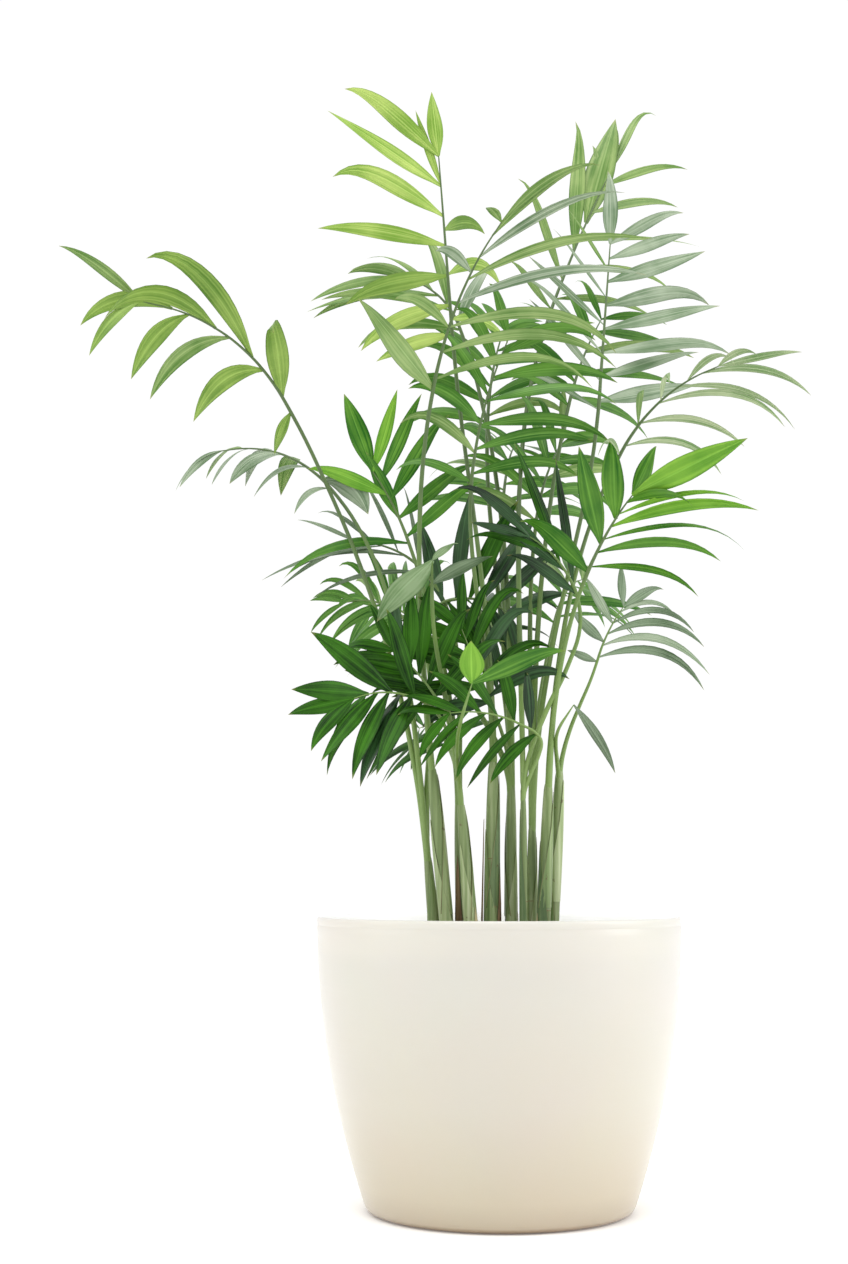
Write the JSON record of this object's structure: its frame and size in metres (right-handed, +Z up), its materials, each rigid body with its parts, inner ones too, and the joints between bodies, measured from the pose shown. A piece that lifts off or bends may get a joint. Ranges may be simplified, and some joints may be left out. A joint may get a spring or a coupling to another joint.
{
  "type": "potted parlour palm",
  "caption": "Young parlour palm: a clump of slender green canes with feather fronds on long stalks, in a plain ivory planter.",
  "frame": {"origin": "centre of the planter's flat underside, on the floor", "axes": "+Z up along the canes, the front of the plant towards -Y, +X to the right of the front view"},
  "size_m": [0.5006, 0.3599, 0.8387],
  "materials": {
    "pot_plastic": "satin ivory plastic",
    "potting_soil": "moist dark crumb",
    "cane_green": "smooth pale green with brown rings and sheaths",
    "stalk_green": "smooth satin green",
    "leaf_green": "satin leaf, bright to dark green"
  },
  "bodies": {
    "root": {"pot": "pot_plastic", "soil": "potting_soil", "cane_a": "cane_green", "cane_b": "cane_green", "cane_c": "cane_green", "cane_d": "cane_green", "cane_e": "cane_green", "cane_f": "cane_green", "cane_g": "cane_green", "cane_h": "cane_green", "cane_i": "cane_green", "cane_j": "cane_green", "stalk_far_left": "stalk_green", "stalk_low_left": "stalk_green", "stalk_top_left": "stalk_green", "stalk_right": "stalk_green", "stalk_top_back": "stalk_green", "stalk_top_right": "stalk_green", "stalk_front": "stalk_green", "stalk_low_right": "stalk_green", "stalk_right_front": "stalk_green", "stalk_back_left": "stalk_green", "stalk_centre": "stalk_green", "stalk_upper_mid": "stalk_green", "stalk_mid_back": "stalk_green", "stalk_up_back": "stalk_green", "stalk_rear_high": "stalk_green", "stalk_rear_left": "stalk_green", "stalk_rear_right": "stalk_green", "frond_far_left": "leaf_green", "frond_low_left": "leaf_green", "frond_top_left": "leaf_green", "frond_right": "leaf_green", "frond_top_back": "leaf_green", "frond_top_right": "leaf_green", "frond_front": "leaf_green", "frond_low_right": "leaf_green", "frond_right_front": "leaf_green", "frond_low_left_front": "leaf_green", "frond_back_left": "leaf_green", "frond_left_upper": "leaf_green", "frond_left_mid": "leaf_green", "frond_left_behind": "leaf_green", "frond_left_front": "leaf_green", "frond_young": "leaf_green", "frond_low_right_leaf": "leaf_green", "frond_low_base": "leaf_green", "frond_centre": "leaf_green", "frond_centre_right": "leaf_green", "frond_upper_mid": "leaf_green", "frond_low_mid_front": "leaf_green", "frond_low_centre": "leaf_green", "frond_centre_dark": "leaf_green", "frond_mid_back": "leaf_green", "frond_up_back": "leaf_green", "frond_rear_high": "leaf_green", "frond_rear_left": "leaf_green", "frond_rear_right": "leaf_green", "frond_rear_middle": "leaf_green", "frond_rear_low": "leaf_green"}
  },
  "joints": []
}
